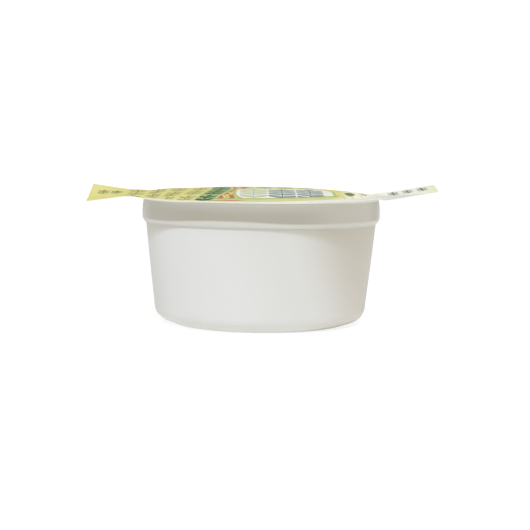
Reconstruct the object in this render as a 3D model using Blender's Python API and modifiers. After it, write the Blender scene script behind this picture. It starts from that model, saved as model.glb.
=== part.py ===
"""Sealed portion cup: a white collared cup closed by a printed film lid with two pull tabs.

Metres, +Z up. The origin is the centre of the cup's flat base. The tabs point along -X and +X.
"""

from math import atan2, cos, pi, radians, sin, tan

import bmesh
import bpy
import numpy as np

# Cup, heights above the base
FLANGE_TOP = 0.0350
FLANGE_RADIUS = 0.0332
FLANGE_THICKNESS = 0.00055
FLANGE_ROUND = 0.00012
TOP_RADII = (0.0, 0.008, 0.015, 0.020, 0.024, 0.027, 0.0295, 0.0315)
COLLAR_TOP_RADIUS = 0.0330
COLLAR_RADIUS = 0.03333
COLLAR_WIDEST_HEIGHT = 0.0307
COLLAR_FOOT_HEIGHT = 0.0297
LEDGE_WIDTH = 0.0013
LEDGE_DROP = 0.00175
LEDGE_SWEEP = radians(80)
WALL_TOP_RADIUS = 0.03214
WALL_TOP_HEIGHT = 0.0277
WALL_FOOT_RADIUS = 0.02954
WALL_FOOT_HEIGHT = 0.00414
CORNER_RADIUS = 0.00383
CHAMFER_ANGLE = radians(20)
GROOVE_OUTER_RADIUS = 0.0205
GROOVE_INNER_RADIUS = 0.0130
GROOVE_DEPTH = 0.0005
GROOVE_SLOPE = 0.0006
EDGE_POINTS = 3
COLLAR_POINTS = 6
LEDGE_POINTS = 7
CORNER_POINTS = 6
TURN_STEPS = 96
WELD_DISTANCE = 0.000001

# Lid film
FILM_THICKNESS = 0.0003
FILM_GAP = 0.0003
FILM_RADIUS = 0.0333
DOME_RADIUS = 0.0315
DOME_HEIGHT = 0.0020
DOME_POWER = 5
DOME_BLEND = 0.0001
TAB_HALF_WIDTH = 0.0098
TAB_CORNER = 0.0010
TAB_FILLET = 0.0050
LEFT_TAB_REACH = 0.0478
LEFT_TAB_SKEW = 0.021
LEFT_LIFT = 0.00067
LEFT_LIFT_START = 0.0170
LEFT_LIFT_END = 0.0382
LEFT_TWIST_NEAR = tan(radians(3.4))
LEFT_TWIST_FAR = tan(radians(11.7))
RIGHT_TAB_REACH = 0.0492
RIGHT_TAB_SKEW = 0.057
RIGHT_CURL = tan(radians(9.8))
RIGHT_CURL_START = 0.0338
RIGHT_CURL_BLEND = 0.0012
RIGHT_TWIST = tan(radians(3.1))
RIGHT_TWIST_START = 0.0318
RIGHT_TWIST_END = 0.0368
LIFT_HALF_WIDTH = 0.0110
LIFT_FADE = 0.0050

# Facets of the film, across a tab, round the open arc, along a tab, and the rings of the disc
TAB_STEPS = 14
ARC_STEPS = 42
FILLET_STEPS = 5
SIDE_STEPS = 5
CORNER_STEPS = 3
RING_RADII = (0.0080, 0.0145, 0.0195, 0.0235, 0.0265, 0.0290, 0.0308, 0.0320, FILM_RADIUS)

# Finishes, as colours and roughness
CUP_COLOUR = (0.77, 0.76, 0.72)
CUP_ROUGHNESS = 0.42
FILM_COLOUR = (0.71, 0.69, 0.33)
FILM_ROUGHNESS = 0.35


def clear_scene():
    for obj in list(bpy.data.objects):
        bpy.data.objects.remove(obj, do_unlink=True)


def smooth_step(value, low, high):
    """0 below low, 1 above high, and a smooth cubic between them."""
    t = np.clip((value - low) / (high - low), 0.0, 1.0)
    return t * t * (3.0 - 2.0 * t)


def soft_floor(value, blend):
    """The value where it is above zero and zero below, with a rounded change between them."""
    return 0.5 * (value + np.sqrt(value * value + blend * blend))


def arc(centre, radii, start, end, count):
    """Points of an elliptical arc from angle start to angle end, both ends included."""
    angles = np.linspace(start, end, count)
    return [(centre[0] + radii[0] * cos(a), centre[1] + radii[1] * sin(a)) for a in angles]


def dome(radius):
    """Height of the lid above its flat sealed rim, by distance from the axis."""
    rise = DOME_HEIGHT * (1.0 - (radius / DOME_RADIUS) ** DOME_POWER)
    return soft_floor(rise, DOME_BLEND)


def top_profile():
    """The face under the film, from the axis out to the flange's edge."""
    return [(r, FLANGE_TOP + float(dome(r))) for r in TOP_RADII]


def flange_profile():
    """The flange's thin edge, rounded above and below, standing just proud of the collar."""
    inner = FLANGE_RADIUS - FLANGE_ROUND
    foot = FLANGE_TOP - FLANGE_THICKNESS
    radii = (FLANGE_ROUND, FLANGE_ROUND)
    upper = arc((inner, FLANGE_TOP - FLANGE_ROUND), radii, pi / 2, 0, EDGE_POINTS)
    lower = arc((inner, foot + FLANGE_ROUND), radii, 0, -pi / 2, EDGE_POINTS)
    return upper + lower


def collar_profile():
    """The collar's slightly barrelled band, a parabola widest below its middle."""
    top = FLANGE_TOP - FLANGE_THICKNESS - FLANGE_ROUND
    bow = (COLLAR_RADIUS - COLLAR_TOP_RADIUS) / (top - COLLAR_WIDEST_HEIGHT) ** 2
    heights = np.linspace(top, COLLAR_FOOT_HEIGHT, COLLAR_POINTS)
    return [(COLLAR_RADIUS - bow * (z - COLLAR_WIDEST_HEIGHT) ** 2, z) for z in heights]


def ledge_profile():
    """The collar's rounded lower lip, turning in to the wall."""
    foot_radius = collar_profile()[-1][0]
    centre = (foot_radius - LEDGE_WIDTH, COLLAR_FOOT_HEIGHT)
    return arc(centre, (LEDGE_WIDTH, LEDGE_DROP), 0, -LEDGE_SWEEP, LEDGE_POINTS)[1:]


def foot_profile():
    """The wall, its rounded foot corner and the chamfer that runs in to the base."""
    taper = atan2(WALL_TOP_RADIUS - WALL_FOOT_RADIUS, WALL_TOP_HEIGHT - WALL_FOOT_HEIGHT)
    centre_r = WALL_FOOT_RADIUS - CORNER_RADIUS * cos(taper)
    centre_z = WALL_FOOT_HEIGHT + CORNER_RADIUS * sin(taper)
    radii = (CORNER_RADIUS, CORNER_RADIUS)
    corner = arc((centre_r, centre_z), radii, -taper, CHAMFER_ANGLE - pi / 2, CORNER_POINTS)
    chamfer_r, chamfer_z = corner[-1]
    base_r = chamfer_r - chamfer_z / tan(CHAMFER_ANGLE)
    return [(WALL_TOP_RADIUS, WALL_TOP_HEIGHT)] + corner + [(base_r, 0.0)]


def base_profile():
    """The underside: a flat foot ring, a shallow ring groove and a flat centre."""
    return [
        (GROOVE_OUTER_RADIUS, 0.0),
        (GROOVE_OUTER_RADIUS - GROOVE_SLOPE, GROOVE_DEPTH),
        (GROOVE_INNER_RADIUS + GROOVE_SLOPE, GROOVE_DEPTH),
        (GROOVE_INNER_RADIUS, 0.0),
        (0.0, 0.0),
    ]


def cup_profile():
    """(radius, height) points down the cup's outside, from the top centre to the base centre."""
    upper = top_profile() + flange_profile() + collar_profile()
    return upper + ledge_profile() + foot_profile() + base_profile()


def fillet_corner():
    """Centre of the round between the disc's arc and the tab's side: it touches both."""
    y = TAB_HALF_WIDTH + TAB_FILLET
    return ((FILM_RADIUS + TAB_FILLET) ** 2 - y**2) ** 0.5, y


def tab_angle():
    """Angle from +X to the point where the disc's arc ends and the fillet starts."""
    x, y = fillet_corner()
    return atan2(y, x)


def tab_side(reach):
    """A tab's side from the disc's arc outwards: a fillet, a straight run and a round corner."""
    x, y = fillet_corner()
    fillet = arc((x, y), (TAB_FILLET, TAB_FILLET), tab_angle() - pi, -pi / 2, FILLET_STEPS + 1)
    corner_x = reach - TAB_CORNER
    straight = [(i, TAB_HALF_WIDTH) for i in np.linspace(x, corner_x, SIDE_STEPS + 1)[1:]]
    centre = (corner_x, TAB_HALF_WIDTH - TAB_CORNER)
    corner = arc(centre, (TAB_CORNER, TAB_CORNER), pi / 2, 0, CORNER_STEPS + 1)[1:]
    return np.array(fillet + straight + corner)


def tab_grid(reach):
    """Plan points of a tab, in rows from the disc's arc to the tab's end, shaped by its side."""
    side = tab_side(reach)
    angles = np.linspace(-tab_angle(), tab_angle(), TAB_STEPS + 1)
    arc_x = FILM_RADIUS * np.cos(angles)
    share = (side[:, 0] - side[0, 0]) / (reach - side[0, 0])
    x = arc_x + np.outer(share, reach - arc_x)
    y = np.outer(side[:, 1], np.sin(angles) / sin(tab_angle()))
    return np.stack([x, y], axis=-1)


def disc_grid():
    """Plan points of the disc: rings from its centre to its edge, closer where a tab leaves it."""
    tab = np.linspace(-tab_angle(), tab_angle(), TAB_STEPS + 1)
    back = np.linspace(tab_angle(), pi - tab_angle(), ARC_STEPS + 1)
    angles = np.concatenate([tab, back[1:], tab[1:] + pi, back[1:] + pi])
    radii = np.array((0.0,) + RING_RADII)
    return np.stack([np.outer(radii, np.cos(angles)), np.outer(radii, np.sin(angles))], axis=-1)


def shaped_film(x, y):
    """Height of the film's underside: a dome, a lifted and twisted left tab, a curled right one."""
    sideways = 1.0 - smooth_step(np.abs(y), LIFT_HALF_WIDTH, LIFT_HALF_WIDTH + LIFT_FADE)
    lifted = smooth_step(-x, LEFT_LIFT_START, LEFT_LIFT_END) * sideways
    outward = smooth_step(-x, LEFT_LIFT_END, LEFT_TAB_REACH)
    twist = LEFT_TWIST_NEAR + (LEFT_TWIST_FAR - LEFT_TWIST_NEAR) * outward
    left = lifted * (LEFT_LIFT + y * twist)
    curl = RIGHT_CURL * soft_floor(x - RIGHT_CURL_START, RIGHT_CURL_BLEND)
    inboard = RIGHT_CURL * soft_floor(-RIGHT_CURL_START, RIGHT_CURL_BLEND)
    turned = smooth_step(x, RIGHT_TWIST_START, RIGHT_TWIST_END) * sideways * RIGHT_TWIST * y
    return FLANGE_TOP + FILM_GAP + dome(np.hypot(x, y)) + left + curl - inboard + turned


def skewed(plan):
    """Plan points with each tab's end edge turned a little off square."""
    x, y = plan[..., 0], plan[..., 1]
    right = RIGHT_TAB_SKEW * smooth_step(x, FILM_RADIUS, RIGHT_TAB_REACH)
    left = LEFT_TAB_SKEW * smooth_step(-x, FILM_RADIUS, LEFT_TAB_REACH)
    return x + (right - left) * y, y


def film_mesh():
    """The film's underside as one sheet: a grid for the disc and for each tab, welded together."""
    right = tab_grid(RIGHT_TAB_REACH)
    left = tab_grid(LEFT_TAB_REACH) * (-1, -1)
    sheet = bmesh.new()
    for grid in (disc_grid(), right, left):
        x, y = skewed(grid)
        z = shaped_film(x, y)
        rows = [[sheet.verts.new(p) for p in row] for row in np.stack([x, y, z], axis=-1)]
        for near, far in zip(rows, rows[1:]):
            for i in range(len(near) - 1):
                sheet.faces.new((near[i], far[i], far[i + 1], near[i + 1]))
    bmesh.ops.remove_doubles(sheet, verts=sheet.verts, dist=WELD_DISTANCE)
    mesh = bpy.data.meshes.new("lid")
    sheet.to_mesh(mesh)
    sheet.free()
    return mesh


def plastic(name, colour, roughness):
    """A plain dielectric finish."""
    material = bpy.data.materials.new(name)
    material.use_nodes = True
    shader = material.node_tree.nodes["Principled BSDF"]
    shader.inputs["Base Color"].default_value = (*colour, 1.0)
    shader.inputs["Roughness"].default_value = roughness
    shader.inputs["Metallic"].default_value = 0.0
    material.diffuse_color = (*colour, 1.0)
    return material


def new_object(name, mesh, material, collection):
    obj = bpy.data.objects.new(name, mesh)
    collection.objects.link(obj)
    mesh.materials.append(material)
    return obj


def make_cup(collection):
    """The cup, a profile turned round Z."""
    profile = cup_profile()
    mesh = bpy.data.meshes.new("cup")
    points = [(r, 0.0, z) for r, z in profile]
    mesh.from_pydata(points, [(i, i + 1) for i in range(len(points) - 1)], [])
    white = plastic("white_plastic", CUP_COLOUR, CUP_ROUGHNESS)
    cup = new_object("cup", mesh, white, collection)
    screw = cup.modifiers.new("turn", "SCREW")
    screw.axis = "Z"
    screw.angle = 2 * pi
    screw.steps = TURN_STEPS
    screw.render_steps = TURN_STEPS
    screw.use_merge_vertices = True
    screw.merge_threshold = WELD_DISTANCE
    screw.use_smooth_shade = True
    return cup


def make_lid(collection):
    """The film lid, a sheet given its thickness upwards."""
    mesh = film_mesh()
    mesh.shade_smooth()
    printed = plastic("printed_film", FILM_COLOUR, FILM_ROUGHNESS)
    lid = new_object("lid", mesh, printed, collection)
    wall = lid.modifiers.new("thickness", "SOLIDIFY")
    wall.thickness = FILM_THICKNESS
    wall.offset = 1.0
    wall.use_even_offset = True
    return lid


def main():
    clear_scene()
    collection = bpy.data.collections.new("portion_control_cup")
    bpy.context.scene.collection.children.link(collection)
    make_cup(collection)
    make_lid(collection)


main()
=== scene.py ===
"""Sealed portion cup: a white collared cup closed by a printed peel film with two pull tabs.

Laid out as a Blender add-on and run as a script. Metres, +Z up, origin at the centre of the base.
"""

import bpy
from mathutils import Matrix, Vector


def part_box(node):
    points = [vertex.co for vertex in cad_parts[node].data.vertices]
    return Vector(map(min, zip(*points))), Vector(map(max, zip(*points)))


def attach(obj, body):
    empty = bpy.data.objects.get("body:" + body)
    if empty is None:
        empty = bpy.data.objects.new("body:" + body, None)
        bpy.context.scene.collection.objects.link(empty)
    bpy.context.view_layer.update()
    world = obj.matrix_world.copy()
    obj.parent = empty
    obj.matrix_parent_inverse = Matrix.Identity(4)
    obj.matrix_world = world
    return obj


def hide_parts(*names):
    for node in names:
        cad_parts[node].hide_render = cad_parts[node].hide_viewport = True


bl_info = {
    "name": "Sealed Portion Cup",
    "version": (1, 0, 0),
    "blender": (4, 5, 0),
    "location": "View3D > Sidebar > Portion Cup",
    "description": "A white portion cup with a rim collar, closed by a printed peel film",
    "category": "Add Mesh",
}

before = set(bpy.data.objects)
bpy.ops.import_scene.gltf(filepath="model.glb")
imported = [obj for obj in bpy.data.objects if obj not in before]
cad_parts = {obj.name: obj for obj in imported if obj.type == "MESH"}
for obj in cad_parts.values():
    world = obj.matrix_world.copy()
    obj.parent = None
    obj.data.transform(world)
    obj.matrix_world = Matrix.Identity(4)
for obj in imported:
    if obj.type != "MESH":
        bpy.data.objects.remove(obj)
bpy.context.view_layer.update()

from math import atan2, cos, pi, radians, sin, tan

import bpy
import numpy as np
from bpy.props import FloatProperty, FloatVectorProperty, IntProperty, PointerProperty
from mathutils import Matrix, Vector

MM = 0.001
WHITE = (1.0, 1.0, 1.0, 1.0)
# Brightness of the backdrop, as the camera sees it
BACKDROP = 1.05
# How far the collar stays inside the solid's box
COLLAR_INSET = 0.11 * MM
_, CUP_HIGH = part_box("cup")
LID_LOW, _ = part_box("lid")


def display(red, green, blue):
    """A colour given as it looks on screen, 0 to 255, as linear values, by the sRGB curve."""
    share = np.array([red, green, blue]) / 255.0
    return tuple(np.where(share <= 0.04045, share / 12.92, ((share + 0.055) / 1.055) ** 2.4))


# Short forms for the settings' properties
def length(name, description, default):
    return FloatProperty(name=name, description=description, default=default, unit="LENGTH", precision=5)


def turn(name, description, degrees):
    return FloatProperty(name=name, description=description, default=radians(degrees), unit="ROTATION")


def colour(name, description, shown):
    return FloatVectorProperty(
        name=name, description=description, default=display(*shown), subtype="COLOR", min=0.0, max=1.0
    )


def strength(name, description, default):
    return FloatProperty(name=name, description=description, default=default, min=0.0)


class CupSettings(bpy.types.PropertyGroup):
    """Sizes and colours of the moulded cup."""

    flange_top: length("Flange top", "Height of the sealed rim above the base", 0.0350)
    flange_radius: length("Flange radius", "Radius of the thin flange under the film", 0.0332)
    flange_thickness: length("Flange thickness", "Thickness of the flange", 0.00036)
    collar_radius: length("Collar radius", "Largest radius of the rim collar", CUP_HIGH.x - COLLAR_INSET)
    collar_top_radius: length("Collar top radius", "Radius of the collar under the flange", 0.03288)
    collar_widest: length("Collar widest height", "Height where the collar is widest", 0.0307)
    collar_foot: length("Collar foot height", "Height where the collar's lower lip starts", 0.0297)
    ledge_width: length("Ledge width", "How far the lip under the collar turns in", 0.0013)
    ledge_drop: length("Ledge drop", "Height of the rounded lip under the collar", 0.00175)
    wall_top_radius: length("Wall top radius", "Outer radius of the wall under the ledge", 0.03214)
    wall_top: length("Wall top height", "Height where the wall starts", 0.0277)
    wall_foot_radius: length("Wall foot radius", "Outer radius where the foot starts to round", 0.02955)
    wall_foot: length("Wall foot height", "Height where the foot starts to round", 0.00438)
    corner_radius: length("Foot radius", "Radius of the rounded foot", 0.0042)
    chamfer: turn("Foot slope", "Slope of the band between the foot and the base", 20.0)
    groove_outer: length("Groove outer radius", "Outer radius of the ring groove underneath", 0.0205)
    groove_inner: length("Groove inner radius", "Inner radius of the ring groove underneath", 0.0130)
    groove_depth: length("Groove depth", "Depth of the ring groove underneath", 0.0005)
    steps: IntProperty(name="Steps", description="Faces round the cup", default=320, min=24)
    wall_colour: colour("Wall", "Plastic where the contents stand behind it", (223, 224, 222))
    # Painted shade: a warm, darker tone laid on the wall towards the right and upwards
    warm_shade_colour: colour("Tint", "Plastic where more of the contents shows through the wall", (193, 187, 174))
    # Painted shade: the rounded foot darker than the wall, and darker and warmer at the right
    shaded_foot_colour: colour("Foot", "Thick plastic of the rounded foot", (215, 215, 209))
    shaded_foot_side_colour: colour("Foot side", "Plastic of the foot at the right", (206, 203, 192))
    edge_colour: colour("Edge", "Shaded plastic low on the right side", (186, 185, 175))
    base_edge_colour: colour("Base edge", "Shaded plastic of the base's edge at the right", (174, 173, 163))
    # Painted shade in the crease under the lip and along the wall's left edge
    crease_shade_colour: colour("Crease", "Plastic in the crease under the lip and at the left", (200, 197, 188))
    shade_colour: colour("Side shade", "Shaded plastic under the lip at the right", (188, 183, 169))
    lip_colour: colour("Lip", "Plastic of the rounded lip under the collar", (209, 209, 201))
    # Painted shade on the lip at the right
    lip_side_shade_colour: colour("Lip side", "Plastic of the lip at the right", (203, 201, 191))
    collar_foot_colour: colour("Collar foot", "Plastic of the collar just above the lip", (174, 169, 155))
    collar_colour: colour("Collar top", "Plastic where the empty headspace is behind it", (192, 190, 180))
    # Painted shade on the collar at the right
    collar_side_shade_colour: colour("Collar side", "Plastic of the collar at the right", (185, 181, 169))
    # The flange's edge, whiter than the wall: partly the plastic's own white, partly painted highlight
    flange_colour: colour("Flange", "Plastic of the flange's edge", (242, 239, 222))
    # Painted shade on the flange's edge at the right
    flange_side_shade_colour: colour("Flange side", "Plastic of the flange's edge at the right", (217, 217, 206))


class FilmSettings(bpy.types.PropertyGroup):
    """Sizes of the peel film."""

    thickness: length("Thickness", "Thickness of the film", 0.00014)
    radius: length("Radius", "Radius of the film's disc", 0.03308)
    dome_radius: length("Dome radius", "Radius where the film starts to rise", 0.0325)
    dome_height: length("Dome height", "Rise of the film over the middle", 0.00204)
    tab_half_width: length("Tab half width", "Half of a pull tab's width", 0.0098)
    tab_fillet: length("Tab fillet", "Radius between the disc and a tab's side", 0.0050)
    tab_corner: length("Tab corner", "Radius of a tab's corners", 0.0004)
    left_reach: length("Left reach", "Distance from the axis to the left tab's end", -LID_LOW.x)
    right_reach: length("Right reach", "Distance from the axis to the right tab's end", 0.0492)
    left_lift: length("Left lift", "How far the left tab stands above the rim", 0.00067)
    left_twist_near: turn("Left root twist", "Sideways tilt at the left tab's root", 2.4)
    left_twist_far: turn("Left end twist", "Sideways tilt at the left tab's end", 11.6)
    right_curl: turn("Right curl", "Upward slope of the right tab", 9.93)
    right_twist_near: turn("Right root twist", "Sideways tilt at the right tab's root", 3.2)
    right_twist_far: turn("Right end twist", "Sideways tilt at the right tab's end", 3.1)
    rings: IntProperty(name="Rings", description="Rings from the middle to the edge", default=100, min=20)


class PrintSettings(bpy.types.PropertyGroup):
    """Colours of the print on the film."""

    field: colour("Field", "Main yellow of the print", (230, 223, 140))
    cream: colour("Cream", "Pale end of the print", (248, 247, 214))
    ivory: colour("Ivory", "Right pull tab", (254, 254, 242))
    # Unprinted film, greyer than its white: partly the bare film, partly painted shade
    shaded_bare: colour("Bare film", "Unprinted white of the film", (232, 234, 226))
    underside: colour("Underside", "Sealing side of the film", (248, 248, 236))
    olive: colour("Olive", "Ferns on the yellow field, and the rim's inner edge", (146, 154, 76))
    leaf: colour("Leaf", "Small ferns of the left tab", (132, 142, 76))
    lime: colour("Lime", "Edge of the pale panel and line in the rim", (186, 200, 112))
    green: colour("Green", "Band of large ferns", (162, 190, 122))
    forest: colour("Forest", "Dark leaves", (40, 72, 48))
    rim: colour("Rim", "Yellow rim round the pictures", (213, 212, 146))
    terracotta: colour("Terracotta", "Wide zigzag lines", (190, 118, 80))
    tan: colour("Tan", "Thin zigzag lines and seeds", (214, 176, 112))
    slate: colour("Slate", "Outlines of the dark ferns in the pale panel", (58, 88, 84))
    mist: colour("Mist", "Leaves of the dark ferns in the pale panel", (166, 189, 183))
    white: colour("White", "Ground of the pale panel", (243, 244, 232))


class StudioSettings(bpy.types.PropertyGroup):
    """Camera, lights and floor."""

    distance: length("Camera distance", "Distance from the camera to its aim", 0.380)
    aim: length("Aim height", "Height of the point that the camera looks at", 0.018)
    pitch: turn("Camera pitch", "How far the camera looks down", 5.16)
    roll: turn("Camera roll", "Turn of the camera about its view", 0.55)
    lens: FloatProperty(name="Lens", description="Focal length in millimetres", default=91.6, min=10.0)
    shift_x: FloatProperty(name="Shift X", description="Sideways shift of the frame", default=0.0085)
    shift_y: FloatProperty(name="Shift Y", description="Upward shift of the frame", default=-0.0149)
    key_strength: strength("Key", "Strength of the key light", 1.25)
    key_side: turn("Key side", "How far the key light stands left of the camera", 18.0)
    key_height: turn("Key height", "How far the key light stands above the floor", 40.0)
    key_spread: turn("Key spread", "Width of the key light, seen from the cup", 60.0)
    rim_strength: strength("Rim", "Strength of the rim light", 1.65)
    rim_side: turn("Rim side", "How far the rim light stands left of the camera", -105.0)
    rim_height: turn("Rim height", "How far the rim light stands above the floor", 15.0)
    rim_spread: turn("Rim spread", "Width of the rim light, seen from the cup", 90.0)
    top_strength: strength("Top", "Strength of the light straight above", 1.35)
    top_side: turn("Top side", "How far the top light stands left of the camera", 0.0)
    top_height: turn("Top height", "How far the top light stands above the floor", 88.0)
    top_spread: turn("Top spread", "Width of the top light, seen from the cup", 120.0)
    sky: strength("Sky", "Strength of the light from all round", 0.15)
    floor_colour: colour("Floor", "The plain floor", (150, 150, 150))
    floor_glow: strength("Floor glow", "Strength of the light board under the floor", 0.74)


def smooth_step(value, low, high):
    """0 up to low, 1 from high on, and the cubic t * t * (3 - 2t) between them; low may be the larger."""
    t = np.clip((value - low) / (high - low), 0.0, 1.0)
    return t * t * (3.0 - 2.0 * t)


def soft_floor(value, blend):
    """Half of value plus the root of value squared and blend squared: zero below, value above."""
    return 0.5 * (value + np.sqrt(value * value + blend * blend))


def arc(centre, radii, start, end, count):
    """Points centre + radii * (cos a, sin a), with the angle a running evenly from start to end."""
    angles = np.linspace(start, end, count)
    return np.stack([centre[0] + radii[0] * np.cos(angles), centre[1] + radii[1] * np.sin(angles)], axis=-1)


def line(start, end, count):
    """Points spaced evenly from start to end."""
    return np.linspace(np.array(start, float), np.array(end, float), count)


def ring_quads(rows, columns):
    """Quads between neighbouring rows of a grid whose columns run once round and join up."""
    row = np.arange(rows - 1)[:, None] * columns
    here = np.arange(columns)[None, :]
    after = (here + 1) % columns
    quads = np.stack([row + here, row + columns + here, row + columns + after, row + after], axis=-1)
    return quads.reshape(-1, 4)


def fan(pole, ring, columns, outward):
    """Triangles from a pole to a ring of the grid, turned so that they face outward."""
    here = ring + np.arange(columns)
    after = ring + (np.arange(columns) + 1) % columns
    first, second = (here, after) if outward else (after, here)
    return np.stack([np.full(columns, pole), first, second], axis=-1)


def closed_faces(rows, columns):
    """Faces of a grid closed by two poles, whose points follow the grid's: first its top, then its bottom."""
    poles = rows * columns
    last = (rows - 1) * columns
    return [ring_quads(rows, columns), fan(poles, 0, columns, True), fan(poles + 1, last, columns, False)]


def finished_piece(name, points, faces, material, node):
    """A smooth mesh object at the origin that rides on the root body and stands for a CAD node."""
    mesh = bpy.data.meshes.new(name)
    mesh.from_pydata(points.tolist(), [], [face for group in faces for face in group.tolist()])
    mesh.validate()
    mesh.shade_smooth()
    mesh.materials.append(material)
    piece = bpy.data.objects.new(name, mesh)
    bpy.context.scene.collection.objects.link(piece)
    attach(piece, "root")
    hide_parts(node)
    return piece


# Plan point of the cup's axis
AXIS = (np.array(0.0), np.array(0.0))

# Shape of the cup
DOME_POWER = 4.0
DOME_EDGE_BLEND = 0.1 * MM
SEAT_SHARE = 0.85
SEAT_EDGE = (30.1 * MM, 31.4 * MM)
FLANGE_ROUND = 0.16 * MM
FLANGE_NECK = 0.12 * MM
LIP_TURN = radians(76)
HOLLOW_OUT = 0.02 * MM
HOLLOW_DROP = 0.03 * MM
WALL_BOW = 0.05 * MM
BASE_ROUND = 0.5 * MM
GROOVE_SLOPE = 0.8 * MM
GATE_RADIUS = 1.6 * MM
GATE_SLOPE = 0.7 * MM
GATE_DEPTH = 0.25 * MM
OVAL = 0.04 * MM
OVAL_TURN = 0.7
OVAL_RADII = (10.0 * MM, 28.0 * MM)
OVAL_HEIGHTS = (28.0 * MM, 20.0 * MM)
LEAN = 0.006
LEAN_LEVEL = 20.0 * MM
FOOT_SHIFT = 0.20 * MM
FOOT_SHIFT_TOP = 2.9 * MM

# Points along each stretch of the cup's profile
SEAT_POINTS = 24
ROUND_POINTS = 6
COLLAR_POINTS = 22
LIP_POINTS = 16
HOLLOW_POINTS = 9
WALL_POINTS = 40
FOOT_POINTS = 22
BAND_POINTS = 8
BASE_EDGE_POINTS = 7
BASE_POINTS = 64


def dome_rise(radius, film):
    """Rise of the film by distance from the axis: height * (1 - (r / dome radius) ** 4), never below zero."""
    rise = film.dome_height * (1.0 - (radius / film.dome_radius) ** DOME_POWER)
    return soft_floor(rise, DOME_EDGE_BLEND)


def lid_seat(cup):
    """The closed face under the film, from near the axis to the flange, flat until seat_rise lifts it."""
    radius = np.linspace(0.0, cup.flange_radius - 2.0 * FLANGE_ROUND, SEAT_POINTS)[1:]
    return np.stack([radius, np.full_like(radius, cup.flange_top)], axis=-1)


def seat_rise(x, y, cup, film):
    """Lift of the closed face: a share of the film's rise over the flange, none outside the seat's edge."""
    inside = 1.0 - smooth_step(np.hypot(x, y), *SEAT_EDGE)
    return SEAT_SHARE * inside * (film_height(x, y, cup, film) - cup.flange_top)


def flange_edge(cup):
    """The flange's edge: a round above, a straight and a round below."""
    inner = cup.flange_radius - FLANGE_ROUND
    under = cup.flange_top - cup.flange_thickness
    radii = (FLANGE_ROUND, FLANGE_ROUND)
    upper = arc((inner, cup.flange_top - FLANGE_ROUND), radii, pi / 2, 0, ROUND_POINTS)
    lower = arc((inner, under + FLANGE_ROUND), radii, 0, -pi / 2, ROUND_POINTS)
    return np.concatenate([upper, lower])


def collar_band(cup):
    """The barrelled collar: radius = widest radius less bow * (height above the widest point) squared."""
    top = cup.flange_top - cup.flange_thickness - FLANGE_NECK
    bow = (cup.collar_radius - cup.collar_top_radius) / (top - cup.collar_widest) ** 2
    height = np.linspace(top, cup.collar_foot, COLLAR_POINTS)
    return np.stack([cup.collar_radius - bow * (height - cup.collar_widest) ** 2, height], axis=-1)


def lip_and_hollow(cup):
    """The rounded lip under the collar, a part of an ellipse, and the hollow below it.

    The hollow is a quadratic curve from the lip's end to the wall's start, pulled into their corner.
    """
    foot_radius = collar_band(cup)[-1, 0]
    centre = (foot_radius - cup.ledge_width, cup.collar_foot)
    lip = arc(centre, (cup.ledge_width, cup.ledge_drop), 0, -LIP_TURN, LIP_POINTS)[1:]
    end = lip[-1]
    start = np.array([cup.wall_top_radius, cup.wall_top])
    corner = np.array([cup.wall_top_radius + HOLLOW_OUT, end[1] - HOLLOW_DROP])
    share = np.linspace(0.0, 1.0, HOLLOW_POINTS)[1:, None]
    hollow = (1 - share) ** 2 * end + 2 * share * (1 - share) * corner + share**2 * start
    return np.concatenate([lip, hollow])


def wall_and_foot(cup):
    """The tapered wall with a half-sine bow, its rounded foot, the sloping band and the base's round edge."""
    taper = atan2(cup.wall_top_radius - cup.wall_foot_radius, cup.wall_top - cup.wall_foot)
    top, foot = (cup.wall_top_radius, cup.wall_top), (cup.wall_foot_radius, cup.wall_foot)
    wall = line(top, foot, WALL_POINTS)[1:]
    wall[:, 0] += WALL_BOW * np.sin(pi * np.linspace(0.0, 1.0, WALL_POINTS)[1:])
    centre_r = cup.wall_foot_radius - cup.corner_radius * cos(taper)
    centre_z = cup.wall_foot + cup.corner_radius * sin(taper)
    radii = (cup.corner_radius, cup.corner_radius)
    corner = arc((centre_r, centre_z), radii, -taper, cup.chamfer - pi / 2, FOOT_POINTS)[1:]
    edge_r = corner[-1, 0] - corner[-1, 1] / tan(cup.chamfer)
    reach = BASE_ROUND * tan(cup.chamfer / 2)
    start = (edge_r + reach * cos(cup.chamfer), reach * sin(cup.chamfer))
    band = line(corner[-1], start, BAND_POINTS)[1:-1]
    radii = (BASE_ROUND, BASE_ROUND)
    base_edge = arc((edge_r - reach, BASE_ROUND), radii, cup.chamfer - pi / 2, -pi / 2, BASE_EDGE_POINTS)
    return np.concatenate([wall, corner, band, base_edge])


def underside(cup):
    """Height of the base by radius: flat, with a shallow ring groove and a round gate mark in the middle."""
    edge = wall_and_foot(cup)[-1, 0]
    radius = np.linspace(edge, 0.0, BASE_POINTS)[1:-1]
    groove = smooth_step(radius, cup.groove_inner, cup.groove_inner + GROOVE_SLOPE)
    groove = groove * (1.0 - smooth_step(radius, cup.groove_outer - GROOVE_SLOPE, cup.groove_outer))
    gate = 1.0 - smooth_step(radius, GATE_RADIUS - GATE_SLOPE, GATE_RADIUS)
    return np.stack([radius, cup.groove_depth * groove + GATE_DEPTH * gate], axis=-1)


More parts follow.
